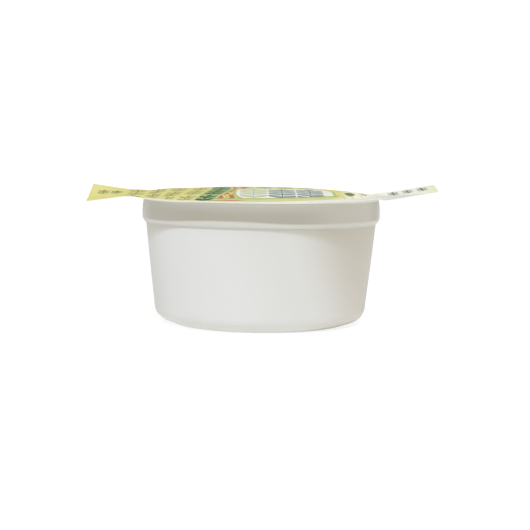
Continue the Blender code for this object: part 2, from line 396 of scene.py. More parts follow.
def make_cup_mesh(cup, film):
    """The cup turned round Z: point (t, a) is (r(t) cos a, r(t) sin a, z(t)), with r a trace out of round.

    The closed face inside the flange then rises by seat_rise, so that it follows the film above it.
    The moulding leans a trace to one side: x moves by the lean times the height over the lean's level.
    Its rounded foot stands a trace to that side: x moves by the shift times a half sine over the foot.
    """
    seat = lid_seat(cup)
    parts = [seat, flange_edge(cup), collar_band(cup), lip_and_hollow(cup)]
    profile = np.concatenate(parts + [wall_and_foot(cup), underside(cup)])
    angle = np.linspace(0.0, 2.0 * pi, cup.steps, endpoint=False)
    radius, height = profile[:, 0:1], profile[:, 1:2]
    round_off = smooth_step(radius, *OVAL_RADII) * smooth_step(height, *OVAL_HEIGHTS)
    radius = radius + OVAL * round_off * np.cos(2.0 * angle + OVAL_TURN)
    turned = np.broadcast_arrays(radius * np.cos(angle), radius * np.sin(angle), height)
    grid = np.stack(turned, axis=-1)
    face = grid[: len(seat)]
    face[..., 2] += seat_rise(face[..., 0], face[..., 1], cup, film)
    top = (0.0, 0.0, cup.flange_top + float(seat_rise(*AXIS, cup, film)))
    points = np.concatenate([grid.reshape(-1, 3), [top, (0.0, 0.0, GATE_DEPTH)]])
    points[:, 0] += LEAN * (points[:, 2] - LEAN_LEVEL)
    points[:, 0] += FOOT_SHIFT * np.sin(pi * np.clip(points[:, 2] / FOOT_SHIFT_TOP, 0.0, 1.0))
    rows, columns = grid.shape[:2]
    return points, closed_faces(rows, columns)


# Shape of the film
FILM_LIFT = 0.01 * MM
LEFT_LIFT_START = 17.1 * MM
LEFT_LIFT_END = 37.0 * MM
LEFT_TWIST_START = 36.9 * MM
LEFT_SKEW = 0.021
RIGHT_CURL_START = 33.5 * MM
RIGHT_TWIST_START = 31.8 * MM
RIGHT_TWIST_END = 33.9 * MM
RIGHT_SKEW = 0.057
BEND_BLEND = 1.1 * MM
LIFT_HALF_WIDTH = 9.6 * MM
LIFT_FADE = 3.6 * MM
SIDE_LEAN = -0.06
BACK_LEAN = 0.12
BEAD_RADIUS = 31.2 * MM
BEAD_WIDTH = 0.35 * MM
BEAD_HEIGHT = 0.05 * MM
RING_CROWDING = 0.4

# Puffs beside the tabs: place, spread and rise
PUFFS = (
    ((-31.0 * MM, 9.5 * MM), 5.0 * MM, 0.15 * MM),
    ((31.0 * MM, 12.5 * MM), 5.0 * MM, 0.35 * MM),
)

# The film's edge hangs a little over the rim, in front of the left tab
HANG_PLACE = (-31.4 * MM, -11.5 * MM)
HANG_SPREAD = 2.8 * MM
HANG_DEPTH = 0.7 * MM
HANG_RADII = (32.9 * MM, 34.3 * MM)

# Puckers: their height, the radii where they grow and fade, and each wave's count, phase and weight
PUCKER_HEIGHT = 0.035 * MM
PUCKER_START = (20.0 * MM, 29.0 * MM)
PUCKER_END = 30.0 * MM
PUCKERS = ((7, 0.4, 1.0), (11, 2.1, 0.8), (17, 4.0, 0.7), (29, 1.2, 0.5), (41, 5.3, 0.4))

# The cut edge takes this share of the print's colour at the left, and none from the middle to the right
EDGE_PRINT = 0.75
EDGE_PRINT_SIDE = (4.0 * MM, 26.0 * MM)

# Points along each stretch of the film's edge
TAB_POINTS = 18
CORNER_POINTS = 6
DISC_POINTS = 150


def tab_outline(reach, film):
    """One tab's edge from its lower fillet round the end to its upper one, as (x, y) for a tab along +X."""
    y = film.tab_half_width + film.tab_fillet
    x = ((film.radius + film.tab_fillet) ** 2 - y**2) ** 0.5
    start = atan2(y, x)
    fillet = arc((x, y), (film.tab_fillet, film.tab_fillet), start - pi, -pi / 2, TAB_POINTS)
    side = line((x, film.tab_half_width), (reach - film.tab_corner, film.tab_half_width), TAB_POINTS)[1:-1]
    corner_y = film.tab_half_width - film.tab_corner
    radii = (film.tab_corner, film.tab_corner)
    corner = arc((reach - film.tab_corner, corner_y), radii, pi / 2, 0, CORNER_POINTS)
    half = np.concatenate([fillet, side, corner])
    end = line((reach, corner_y), (reach, -corner_y), TAB_POINTS)[1:-1]
    mirrored = half[::-1] * (1.0, -1.0)
    return np.concatenate([half, end, mirrored])[::-1]


def film_outline(film):
    """The film's whole edge, anticlockwise: right tab, back arc, left tab, front arc."""
    right = tab_outline(film.right_reach, film)
    left = tab_outline(film.left_reach, film) * (-1.0, -1.0)
    start = atan2(right[-1, 1], right[-1, 0])
    radii = (film.radius, film.radius)
    back = arc((0.0, 0.0), radii, start, pi - start, DISC_POINTS)[1:-1]
    front = arc((0.0, 0.0), radii, pi + start, 2.0 * pi - start, DISC_POINTS)[1:-1]
    return np.concatenate([right, back, left, front])


def hump(x, y, place, spread):
    """A round hump, 1 at its place: exp(-(distance from the place / spread) squared)."""
    return np.exp(-((x - place[0]) ** 2 + (y - place[1]) ** 2) / spread**2)


def puckers(radius, angle, film):
    """Small radial ripples on the dome's shoulder: a sum of cosines of the angle, fading either side."""
    band = smooth_step(radius, *PUCKER_START) * (1.0 - smooth_step(radius, PUCKER_END, film.dome_radius))
    wave = sum(weight * np.cos(count * angle + phase) for count, phase, weight in PUCKERS)
    return PUCKER_HEIGHT * band * wave


def bend(distance):
    """Zero up to where a tab starts to bend, then the distance past it, with a soft start."""
    return soft_floor(distance, BEND_BLEND)


def film_height(x, y, cup, film):
    """Underside of the film: rim height + dome + weld bead + puckers + puffs - hang + left tab + right tab.

    The dome leans a little to the back and the left. The left tab is lifted flat and twists more and more
    towards its end; the right tab curls up at a steady slope, with an almost even sideways tilt.
    """
    radius = np.hypot(x, y)
    dome = dome_rise(radius, film) * (1.0 + (SIDE_LEAN * x + BACK_LEAN * y) / film.radius)
    bead = BEAD_HEIGHT * np.exp(-(((radius - BEAD_RADIUS) / BEAD_WIDTH) ** 2))
    ripples = puckers(radius, np.arctan2(y, x), film)
    puffs = sum(rise * hump(x, y, place, spread) for place, spread, rise in PUFFS)
    hang = HANG_DEPTH * hump(x, y, HANG_PLACE, HANG_SPREAD) * smooth_step(radius, *HANG_RADII)
    sideways = 1.0 - smooth_step(np.abs(y), LIFT_HALF_WIDTH, LIFT_HALF_WIDTH + LIFT_FADE)
    near, far = tan(film.left_twist_near), tan(film.left_twist_far)
    twist = near + (far - near) * bend(-x - LEFT_TWIST_START) / (film.left_reach - LEFT_TWIST_START)
    left = smooth_step(-x, LEFT_LIFT_START, LEFT_LIFT_END) * sideways * (film.left_lift + y * twist)
    curl = tan(film.right_curl) * (bend(x - RIGHT_CURL_START) - bend(-RIGHT_CURL_START))
    near, far = tan(film.right_twist_near), tan(film.right_twist_far)
    twist = near + (far - near) * smooth_step(x, RIGHT_TWIST_END, film.right_reach)
    right = curl + smooth_step(x, RIGHT_TWIST_START, RIGHT_TWIST_END) * sideways * y * twist
    return cup.flange_top + FILM_LIFT + dome + bead + ripples + puffs - hang + left + right


def skewed(plan, film):
    """Plan points with each tab's end edge turned a little off square: x moves by a share of y."""
    x, y = plan[..., 0], plan[..., 1]
    right = RIGHT_SKEW * smooth_step(x, film.radius, film.right_reach)
    left = LEFT_SKEW * smooth_step(-x, film.radius, film.left_reach)
    return x + (right - left) * y, y


def make_film_mesh(cup, film):
    """The film: plan point (s, t) is s times outline(t), raised to the film's height.

    The rings crowd a little towards the edge, and a second sheet stands above the first. top_side, one
    value for each point, is 1 on the printed side, 0 underneath, and between them on the cut edge.
    """
    outline = film_outline(film)
    share = np.linspace(0.0, 1.0, film.rings + 1)[1:, None, None]
    share = (1.0 - RING_CROWDING) * share + RING_CROWDING * np.sin(share * pi / 2)
    x, y = skewed(share * outline[None], film)
    z = film_height(x, y, cup, film)
    upper = np.stack([x, y, z + film.thickness], axis=-1)
    lower = np.stack([x, y, z], axis=-1)[::-1]
    middle = film_height(*AXIS, cup, film)
    grid = np.concatenate([upper, lower])
    rows, columns = grid.shape[:2]
    poles = [(0.0, 0.0, middle + film.thickness), (0.0, 0.0, middle)]
    points = np.concatenate([grid.reshape(-1, 3), poles])
    top_side = np.zeros(len(points))
    edge = (rows // 2 - 1) * columns
    top_side[:edge] = 1.0
    top_side[edge : edge + columns] = EDGE_PRINT * smooth_step(-x[-1], *EDGE_PRINT_SIDE)
    top_side[rows * columns] = 1.0
    return points, closed_faces(rows, columns), top_side


# Sockets of a Mix node that holds colours: factor, A and B, and the result
MIX_INPUTS = (0, 6, 7)
MIX_OUTPUT = 2


class Shader:
    """Adds nodes to one node tree; most calls give back the socket that holds their result."""

    def __init__(self, tree):
        self.tree = tree

    def node(self, kind, **settings):
        """A new node, with its settings."""
        made = self.tree.nodes.new(kind)
        for name, value in settings.items():
            setattr(made, name, value)
        return made

    def feed(self, socket, value):
        """Links another socket to this one, or sets its value; a colour may come without its alpha."""
        if isinstance(value, bpy.types.NodeSocket):
            self.tree.links.new(value, socket)
        elif socket.type == "RGBA" and len(value) == 3:
            socket.default_value = (*value, 1.0)
        else:
            socket.default_value = value

    def operate(self, kind, operation, values, **settings):
        """The result of a node that carries out an operation on values, in their order."""
        made = self.node(kind, operation=operation, **settings)
        for socket, value in zip(made.inputs, values):
            self.feed(socket, value)
        return made.outputs[0]

    def math(self, operation, *values, clamp=False):
        return self.operate("ShaderNodeMath", operation, values, use_clamp=clamp)

    def vector(self, operation, *values):
        return self.operate("ShaderNodeVectorMath", operation, values)

    def times(self, product, *factors):
        """The product of all the values."""
        for factor in factors:
            product = self.math("MULTIPLY", product, factor)
        return product

    def scaled(self, value, scale, offset):
        """The value times a scale, plus an offset."""
        return self.math("MULTIPLY_ADD", value, scale, offset)

    def ramp(self, value, low, high):
        """0 at low, 1 at high, with a smooth change between them; low may be the larger."""
        made = self.node("ShaderNodeMapRange", interpolation_type="SMOOTHSTEP")
        for name, number in (("Value", value), ("From Min", low), ("From Max", high)):
            self.feed(made.inputs[name], number)
        return made.outputs["Result"]

    def ramp_between(self, share, low, high):
        """From low where share is 0 to high where it is 1."""
        return self.scaled(share, high - low, low)

    def between(self, value, low, high, edge):
        """1 where value lies from low to high, with a soft edge."""
        rise = self.ramp(value, low - edge / 2, low + edge / 2)
        fall = self.ramp(value, high - edge / 2, high + edge / 2)
        return self.math("SUBTRACT", rise, fall, clamp=True)

    def mix(self, mask, under, over):
        """The under colour with the over colour laid on it where mask is 1."""
        made = self.node("ShaderNodeMix", data_type="RGBA")
        for place, value in zip(MIX_INPUTS, (mask, under, over)):
            self.feed(made.inputs[place], value)
        return made.outputs[MIX_OUTPUT]

    def object_point(self):
        return self.node("ShaderNodeTexCoord").outputs["Object"]

    def split(self, vector):
        made = self.node("ShaderNodeSeparateXYZ")
        self.feed(made.inputs[0], vector)
        return made.outputs["X"], made.outputs["Y"], made.outputs["Z"]

    def join(self, x, y):
        made = self.node("ShaderNodeCombineXYZ")
        self.feed(made.inputs["X"], x)
        self.feed(made.inputs["Y"], y)
        return made.outputs[0]

    def group(self, tree, **values):
        """One use of a node group; gives all its outputs, by name."""
        made = self.node("ShaderNodeGroup", node_tree=tree)
        for name, value in values.items():
            self.feed(made.inputs[name.replace("_", " ")], value)
        return made.outputs


def new_group(name, inputs, outputs):
    """An empty shader node group with named sockets, and the sockets inside it."""
    tree = bpy.data.node_groups.new(name, "ShaderNodeTree")
    for label, kind, default in inputs:
        socket = tree.interface.new_socket(label, in_out="INPUT", socket_type=kind)
        if default is not None:
            socket.default_value = default
    for label in outputs:
        tree.interface.new_socket(label, in_out="OUTPUT", socket_type="NodeSocketFloat")
    source = tree.nodes.new("NodeGroupInput").outputs
    target = tree.nodes.new("NodeGroupOutput").inputs
    return tree, source, target


SHAPE_INPUTS = (
    ("Point", "NodeSocketVector", None),
    ("Centre", "NodeSocketVector", (0.0, 0.0, 0.0)),
    ("Turn", "NodeSocketVector", (0.0, 0.0, 0.0)),
    ("Half size", "NodeSocketVector", (1.0, 1.0, 1.0)),
)


def own_axes(shader, source):
    """The point in the shape's own axes, where the shape reaches from -1 to 1."""
    made = shader.node("ShaderNodeMapping", vector_type="TEXTURE")
    sockets = (("Vector", "Point"), ("Location", "Centre"), ("Rotation", "Turn"), ("Scale", "Half size"))
    for socket, name in sockets:
        shader.feed(made.inputs[socket], source[name])
    return shader.split(made.outputs[0])


# A leaf of the print, in shares of its half size
LEAF_RIM = 0.24
LEAF_SOFTNESS = 0.08
VEINS_A_SIDE = 3.5
VEIN_SLANT = 0.9
VEIN_HALF_WIDTH = 0.09
VEIN_EDGE = (1.4 * VEIN_HALF_WIDTH, 0.6 * VEIN_HALF_WIDTH)
RIB_EDGE = (1.6 * VEIN_HALF_WIDTH, VEIN_HALF_WIDTH)


def leaf_group():
    """A pointed leaf along u: inside where 1 - u * u - |v| is above zero.

    Its inner part lies inside a rim. Its veins are a rib along the middle and slanting lines beside it.
    """
    tree, source, target = new_group("print leaf", SHAPE_INPUTS, ("Mask", "Inner", "Veins"))
    shader = Shader(tree)
    u, v, _ = own_axes(shader, source)
    across = shader.math("ABSOLUTE", v)
    inside = shader.math("SUBTRACT", shader.math("SUBTRACT", 1.0, shader.times(u, u)), across)
    inner = shader.ramp(inside, LEAF_RIM, LEAF_RIM + LEAF_SOFTNESS)
    slant = shader.scaled(across, -VEIN_SLANT, shader.times(u, VEINS_A_SIDE))
    to_vein = shader.math("PINGPONG", slant, 0.5)
    veins = shader.math("MAXIMUM", shader.ramp(to_vein, *VEIN_EDGE), shader.ramp(across, *RIB_EDGE))
    shader.feed(target["Mask"], shader.ramp(inside, 0.0, LEAF_SOFTNESS))
    shader.feed(target["Inner"], inner)
    shader.feed(target["Veins"], shader.times(inner, veins))
    return tree


def spot_group():
    """Distance from a centre, 1 on a round or rounded square's edge: (|u| ** p + |v| ** p) ** (1 / p)."""
    inputs = SHAPE_INPUTS + (("Power", "NodeSocketFloat", 2.0),)
    tree, source, target = new_group("print spot", inputs, ("Distance",))
    shader = Shader(tree)
    u, v, _ = own_axes(shader, source)
    power = source["Power"]
    along = shader.math("POWER", shader.math("ABSOLUTE", u), power)
    across = shader.math("POWER", shader.math("ABSOLUTE", v), power)
    root = shader.math("DIVIDE", 1.0, power)
    shader.feed(target["Distance"], shader.math("POWER", shader.math("ADD", along, across), root))
    return tree


# The two noises of an uneven surface: output, scale and detail
MOTTLE_NOISES = (("Cloud", 1.0, 3.0), ("Height", 14.0, 2.0))


def mottle_group():
    """Uneven surface: a soft cloudy value and a fine height, from two noises."""
    inputs = (("Point", "NodeSocketVector", None), ("Size", "NodeSocketFloat", 0.01))
    tree, source, target = new_group("surface mottle", inputs, ("Cloud", "Height"))
    shader = Shader(tree)
    place = shader.vector("DIVIDE", source["Point"], source["Size"])
    for label, scale, detail in MOTTLE_NOISES:
        noise = shader.node("ShaderNodeTexNoise")
        for name, value in (("Vector", place), ("Scale", scale), ("Detail", detail)):
            shader.feed(noise.inputs[name], value)
        shader.feed(target[label], noise.outputs[0])
    return tree


def mottle_tree():
    """The mottle group, built once."""
    return bpy.data.node_groups.get("surface mottle") or mottle_group()


def new_material(name):
    """A material with a Principled surface, the shader's helper and its surface node."""
    material = bpy.data.materials.new(name)
    material.use_nodes = True
    return material, Shader(material.node_tree), material.node_tree.nodes["Principled BSDF"]


# Finishes: roughness, how much it changes with the clouds, specular level and strength of the bump
PLASTIC_FINISH = (0.40, 0.12, 0.3, 0.08)
FILM_FINISH = (0.38, 0.15, 0.2, 0.15)
BUMP_DISTANCE = 0.05 * MM
CLOUD_EDGE = (0.3, 0.8)


def clouded(shader, cloud, shade, other, share):
    """The shade, with a share of another colour in its clouds."""
    return shader.mix(shader.ramp(cloud, *CLOUD_EDGE), shade, shader.mix(share, shade, other))


def finish_surface(shader, surface, shade, cloud, grain, finish):
    """Feeds a surface its colour, a roughness that follows the clouds, and a fine bump from the grain."""
    roughness, unevenness, specular, bump_strength = finish
    bump = shader.node("ShaderNodeBump")
    for name, value in (("Strength", bump_strength), ("Distance", BUMP_DISTANCE), ("Height", grain)):
        shader.feed(bump.inputs[name], value)
    for name, value in (
        ("Base Color", shade),
        ("Roughness", shader.scaled(cloud, unevenness, roughness)),
        ("Specular IOR Level", specular),
        ("Normal", bump.outputs[0]),
    ):
        shader.feed(surface.inputs[name], value)


# Clouds and grain of the plastic, and the colour that speckles it
PLASTIC_CLOUD = 18.0 * MM
PLASTIC_GRAIN = 12.0 * MM
PLASTIC_SPECKLE = (0.55, 0.53, 0.48)
PLASTIC_SPECKLE_SHARE = 0.05

# Where the wall and the foot change colour and take painted shade: by x, by height, by radius, and turned, by
# x over the radius
# Painted warm shade on the wall: how far its edge leans with height, and its steps
WARM_SHADE_LEAN = 0.35
WARM_SHADE_STEPS = ((-6.0 * MM, 14.0 * MM, 0.22), (15.0 * MM, 34.0 * MM, 0.78))
LEFT_SHADE_TURNED = (-0.76, -1.0)
LEFT_SHADE_SHARE = 0.46
RIGHT_SHADE_TURNED = (0.91, 0.995)
RIGHT_SHADE_HEIGHT = (24.0 * MM, 5.0 * MM)
RIGHT_SHADE_X = (8.0 * MM, 22.0 * MM)
FOOT_START = 1.4 * MM
BASE_SHADE_X = (0.0, 20.0 * MM)
BASE_SHADE_HEIGHT = (0.9 * MM, 0.1 * MM)
BASE_SHADE_RADIUS = (22.0 * MM, 25.0 * MM)
BASE_SHADE_RISE = 1.5 * MM
BASE_SHADE_RISE_X = (10.0 * MM, 28.0 * MM)

# Shade under the lip: its fade over the reach, and each side's sign, start and growth, in millimetres
SHADE_REACH = 0.14
SHADE_START = 0.15 * MM
SHADE_FADE = (1.4, 0.3)
SHADE_SIDES = ((1.0, -12.0, 1.3e-4), (-1.0, 16.5, 16.0e-4))

# Colours of the lip, the collar and the flange: each one's start by height, which moves with x; where the lip
# and crease take painted shade at the right, and the painted light under the flange
LIP_SHADE_X = (6.0 * MM, 20.0 * MM)
LIP_START = (0.6 * MM, 1.0 * MM)
LIP_MOVE = (0.0, 0.7 * MM)
LIP_MOVE_X = (-4.0 * MM, 26.0 * MM)
COLLAR_START = (-0.35 * MM, 0.35 * MM)
COLLAR_MOVE = (0.42 * MM, -0.30 * MM)
COLLAR_MOVE_LEFT = (-28.0 * MM, -12.0 * MM)
COLLAR_MOVE_RIGHT = (12.0 * MM, -8.0 * MM)
COLLAR_RISE = (1.5 * MM, 0.5 * MM)
# Painted light on the collar just under the flange: its heights below the flange, and its share
PAINTED_LIGHT_UNDER_FLANGE = (-0.75 * MM, -0.1 * MM)
PAINTED_LIGHT_UNDER_FLANGE_SHARE = 0.2
FLANGE_START = (-0.1 * MM, 0.05 * MM)
FLANGE_MOVE = (-0.14 * MM, 0.16 * MM)
FLANGE_MOVE_X = (14.0 * MM, 24.0 * MM)

# Painted highlights and painted shade near the ends of the collar's outline: from and to by x over the
# radius, share and colour
COLLAR_LIGHT_AND_SHADE = (
    (-0.45, -0.85, 0.6, "collar_side_shade_colour"),
    (-0.88, -1.0, 0.6, "lip_colour"),
    (0.85, 0.93, 0.8, "collar_foot_colour"),
    (0.935, 1.0, 0.7, "lip_colour"),
)


def wall_shade(cup, shader, x, height, turned):
    """White wall with painted warm shade towards the right and upwards, and painted shade near both ends of
    its outline.
    """
    lean = shader.scaled(height, WARM_SHADE_LEAN, x)
    warm_shade = 0.0
    for low, high, share in WARM_SHADE_STEPS:
        warm_shade = shader.scaled(shader.ramp(lean, low, high), share, warm_shade)
    wall = shader.mix(warm_shade, cup.wall_colour, cup.warm_shade_colour)
    left = shader.times(shader.ramp(turned, *LEFT_SHADE_TURNED), LEFT_SHADE_SHARE)
    wall = shader.mix(left, wall, cup.crease_shade_colour)
    right = shader.times(shader.ramp(turned, *RIGHT_SHADE_TURNED), shader.ramp(height, *RIGHT_SHADE_HEIGHT))
    return shader.mix(right, wall, cup.edge_colour)


def foot_shade(cup, shader, x, height, radius, right):
    """The foot in painted shade, greyer at the right, with a painted shade along the base's edge that rises
    to the right.
    """
    foot = shader.mix(right, cup.shaded_foot_colour, cup.shaded_foot_side_colour)
    level = shader.scaled(shader.ramp(x, *BASE_SHADE_RISE_X), -BASE_SHADE_RISE, height)
    low = shader.times(
        shader.ramp(x, *BASE_SHADE_X),
        shader.ramp(level, *BASE_SHADE_HEIGHT),
        shader.ramp(radius, *BASE_SHADE_RADIUS),
    )
    return shader.mix(low, foot, cup.base_edge_colour)


def lip_shade(cup, shader, x, height):
    """Shade on the wall under the lip: 1 near it, 0 where the depth below it passes 1.4 times its reach.

    The reach, in millimetres, is least a little left of the middle, and grows to either side with the cube
    of the distance.
    """
    reach = SHADE_REACH
    for side, start, growth in SHADE_SIDES:
        aside = shader.math("MAXIMUM", shader.scaled(x, side / MM, -start), 0.0)
        reach = shader.scaled(shader.math("POWER", aside, 3.0), growth, reach)
    depth = shader.math("DIVIDE", shader.math("SUBTRACT", cup.wall_top + SHADE_START, height), MM)
    return shader.ramp(shader.math("DIVIDE", depth, reach), *SHADE_FADE)


def collar_shade(cup, shader, height, turned, right):
    """The collar: paler upwards, with painted shade at the right, painted highlights and shade near each end
    of its outline, and painted light under the flange.
    """
    flange_foot = cup.flange_top - cup.flange_thickness
    rise = shader.ramp(height, cup.collar_foot + COLLAR_RISE[0], flange_foot + COLLAR_RISE[1])
    collar = shader.mix(rise, cup.collar_foot_colour, cup.collar_colour)
    collar = shader.mix(right, collar, cup.collar_side_shade_colour)
    for low, high, share, zone in COLLAR_LIGHT_AND_SHADE:
        mask = shader.times(shader.ramp(turned, low, high), share)
        collar = shader.mix(mask, collar, getattr(cup, zone))
    # Painted light just under the flange, in the flange's colour
    near = shader.ramp(height, flange_foot + PAINTED_LIGHT_UNDER_FLANGE[0], flange_foot + PAINTED_LIGHT_UNDER_FLANGE[1])
    return shader.mix(shader.times(near, PAINTED_LIGHT_UNDER_FLANGE_SHARE), collar, cup.flange_colour)


def cup_plastic(cup, mottle):
    """Satin white plastic whose colour follows the height: foot, wall, crease, lip, collar and flange, with
    painted shade at the right, on the foot, in the crease and under the lip, and painted highlights on the
    collar and the flange.
    """
    material, shader, surface = new_material("cup_plastic")
    point = shader.object_point()
    x, y, height = shader.split(point)
    radius = shader.math("SQRT", shader.scaled(x, x, shader.times(y, y)))
    turned = shader.math("DIVIDE", x, radius)
    # Masks of the painted shade at the right: of the foot, collar and flange, and of the crease and lip
    right = shader.ramp(x, *RIGHT_SHADE_X)
    right_lip_shade = shader.ramp(x, *LIP_SHADE_X)
    wall = wall_shade(cup, shader, x, height, turned)
    foot = foot_shade(cup, shader, x, height, radius, right)
    shade = shader.mix(shader.ramp(height, FOOT_START, cup.wall_foot), foot, wall)
    # Painted shade under the lip, warmer and darker at the right
    crease = shader.mix(right_lip_shade, cup.crease_shade_colour, cup.shade_colour)
    shade = shader.mix(lip_shade(cup, shader, x, height), shade, crease)
    lip = shader.mix(right_lip_shade, cup.lip_colour, cup.lip_side_shade_colour)
    collar = collar_shade(cup, shader, height, turned, right)
    # Flange: partly painted highlight, with painted shade at the right
    flange = shader.mix(right, cup.flange_colour, cup.flange_side_shade_colour)
    middle = shader.times(shader.ramp(x, *COLLAR_MOVE_LEFT), shader.ramp(x, *COLLAR_MOVE_RIGHT))
    aside = shader.ramp(shader.math("ABSOLUTE", x), *FLANGE_MOVE_X)
    flange_foot = cup.flange_top - cup.flange_thickness
    for share, move, level, start, zone in (
        (shader.ramp(x, *LIP_MOVE_X), LIP_MOVE, cup.wall_top, LIP_START, lip),
        (middle, COLLAR_MOVE, cup.collar_foot, COLLAR_START, collar),
        (aside, FLANGE_MOVE, flange_foot, FLANGE_START, flange),
    ):
        moved = shader.math("ADD", height, shader.ramp_between(share, *move))
        shade = shader.mix(shader.ramp(moved, level + start[0], level + start[1]), shade, zone)
    cloud = shader.group(mottle, Point=point, Size=PLASTIC_CLOUD)["Cloud"]
    grain = shader.group(mottle, Point=point, Size=PLASTIC_GRAIN)["Height"]
    shade = clouded(shader, cloud, shade, PLASTIC_SPECKLE, PLASTIC_SPECKLE_SHARE)
    finish_surface(shader, surface, shade, cloud, grain, PLASTIC_FINISH)
    return material


# Print on the film, in millimetres
BEND_RADIUS = 110.0
PRINT_EDGE = 0.15
WINDOW_EDGE = 0.1
CREAM_ACROSS = (21.0, 26.0)
FILM_CLOUD = 6.0
FILM_CLOUD_SHARE = 0.1
FILM_GRAIN = 20.0

# Ferns: cell of the pattern and its offset, half size of a leaflet, and pitch of its pairs
LEAFLET_LEAN = 38.0
TIP_SHARE = 0.7
ONE_ROW = 60.0
SMALL_FERNS = {"cell": (6.0, 12.6), "offset": (-1.2, 4.6), "leaflet": (2.0, 0.6), "pitch": 3.2}
LARGE_FERNS = {"cell": (5.6, 13.6), "offset": (11.0, 4.0), "leaflet": (2.0, 0.8), "pitch": 3.7}
PANEL_FERNS = {"cell": (7.6, ONE_ROW), "offset": (2.0, 15.6), "leaflet": (3.0, 1.35), "pitch": 4.75}
RIGHT_TAB_FERNS = {"cell": (4.0, ONE_ROW), "offset": (-41.4, -2.8), "leaflet": (1.2, 0.5), "pitch": 2.4}
LEFT_TAB_FERNS = {"cell": (3.7, ONE_ROW), "offset": (40.55, -0.4), "leaflet": (1.35, 0.55), "pitch": 2.3}
SMALL_FERNS_ACROSS = (-37.8, 16.2)
SMALL_FERNS_ALONG = (28.4, 28.3)
RIGHT_TAB_FERNS_X = (35.4, 47.4)
RIGHT_TAB_FERNS_SHARE = 0.85
LEFT_TAB_FERNS_X = (-46.1, -38.7)

# Bands of large ferns and of zigzag lines
GREEN_BAND = (-13.8, -8.2)
ZIGZAG_BAND = (-8.2, -1.6)
ZIGZAG_WINDOW = (-7.8, -1.6)
ZIGZAG_REACH = 3.6
ZIGZAG_SLOPE = 0.45
ZIGZAG_LINES = (
    (-7.6, -6.1, "terracotta"),
    (-5.5, -5.0, "tan"),
    (-4.5, -3.0, "terracotta"),
    (-2.4, -1.9, "tan"),
)

# Rim round the pictures
RIM_CENTRE = (-3.4, 1.5)
RIM_INNER = 29.9
RIM_OUTER = 50.0
RIM_START = (-8.25, -8.15)
RIM_END = (24.0, 20.0)
RIM_OLIVE = 31.1
RIM_LIME = (30.2, 30.8)
RIM_TERRACOTTA = (32.2, 33.1)
TAPER = 0.9
TAPER_ACROSS = (-6.0, 6.0)

# Pale panel
PANEL_CENTRE = (6.4, -14.4)
PANEL_HALF = (13.2, 16.6)
PANEL_MARGIN = 0.8
PANEL_POWER = 4.0
PANEL_EDGE = (1.0, 0.98)
PANEL_DARK_X = (1.8, 1.9)
PANEL_FERNS_X = (-5.9, 17.1)

# Leaves and seeds on the cream: centre, lean in degrees and half size
CREAM_LEAVES = (
    ((24.3, -8.4), 4.0, (6.2, 1.5)),
    ((28.4, -2.0), -6.0, (5.6, 0.9)),
    ((24.4, 8.5), -8.0, (5.6, 1.1)),
)
CREAM_LEAF_SHARE = 0.62
SEED_PLACES = ((24.6, -16.4), (27.4, -9.8), (27.8, 8.0), (22.2, -18.8))
SEED_HALF = (2.4, 0.5)
SEED_SHARE = 0.45

# Ground of the tabs, outside an ellipse, and the bare film where the print stops short, in a colour partly
# painted shade
TABS_CENTRE = (-2.2, 0.0)
TABS_HALF = (36.4, 60.0)
TABS_EDGE = (1.0, 1.005)
TABS_SPLIT = (-1.0, 1.0)
TAB_CREAM_X = (41.0, 50.0)
PRINTED_CENTRE = (-4.0, 2.5)
PRINTED_EDGE = (35.5, 35.1)
LEFT_TAB_X = (-29.0, -30.0)
RIGHT_TAB_X = (29.5, 31.5)
BARE_CORNER_SLOPE = 1.15
BARE_CORNER_EDGE = (42.0, 43.0)


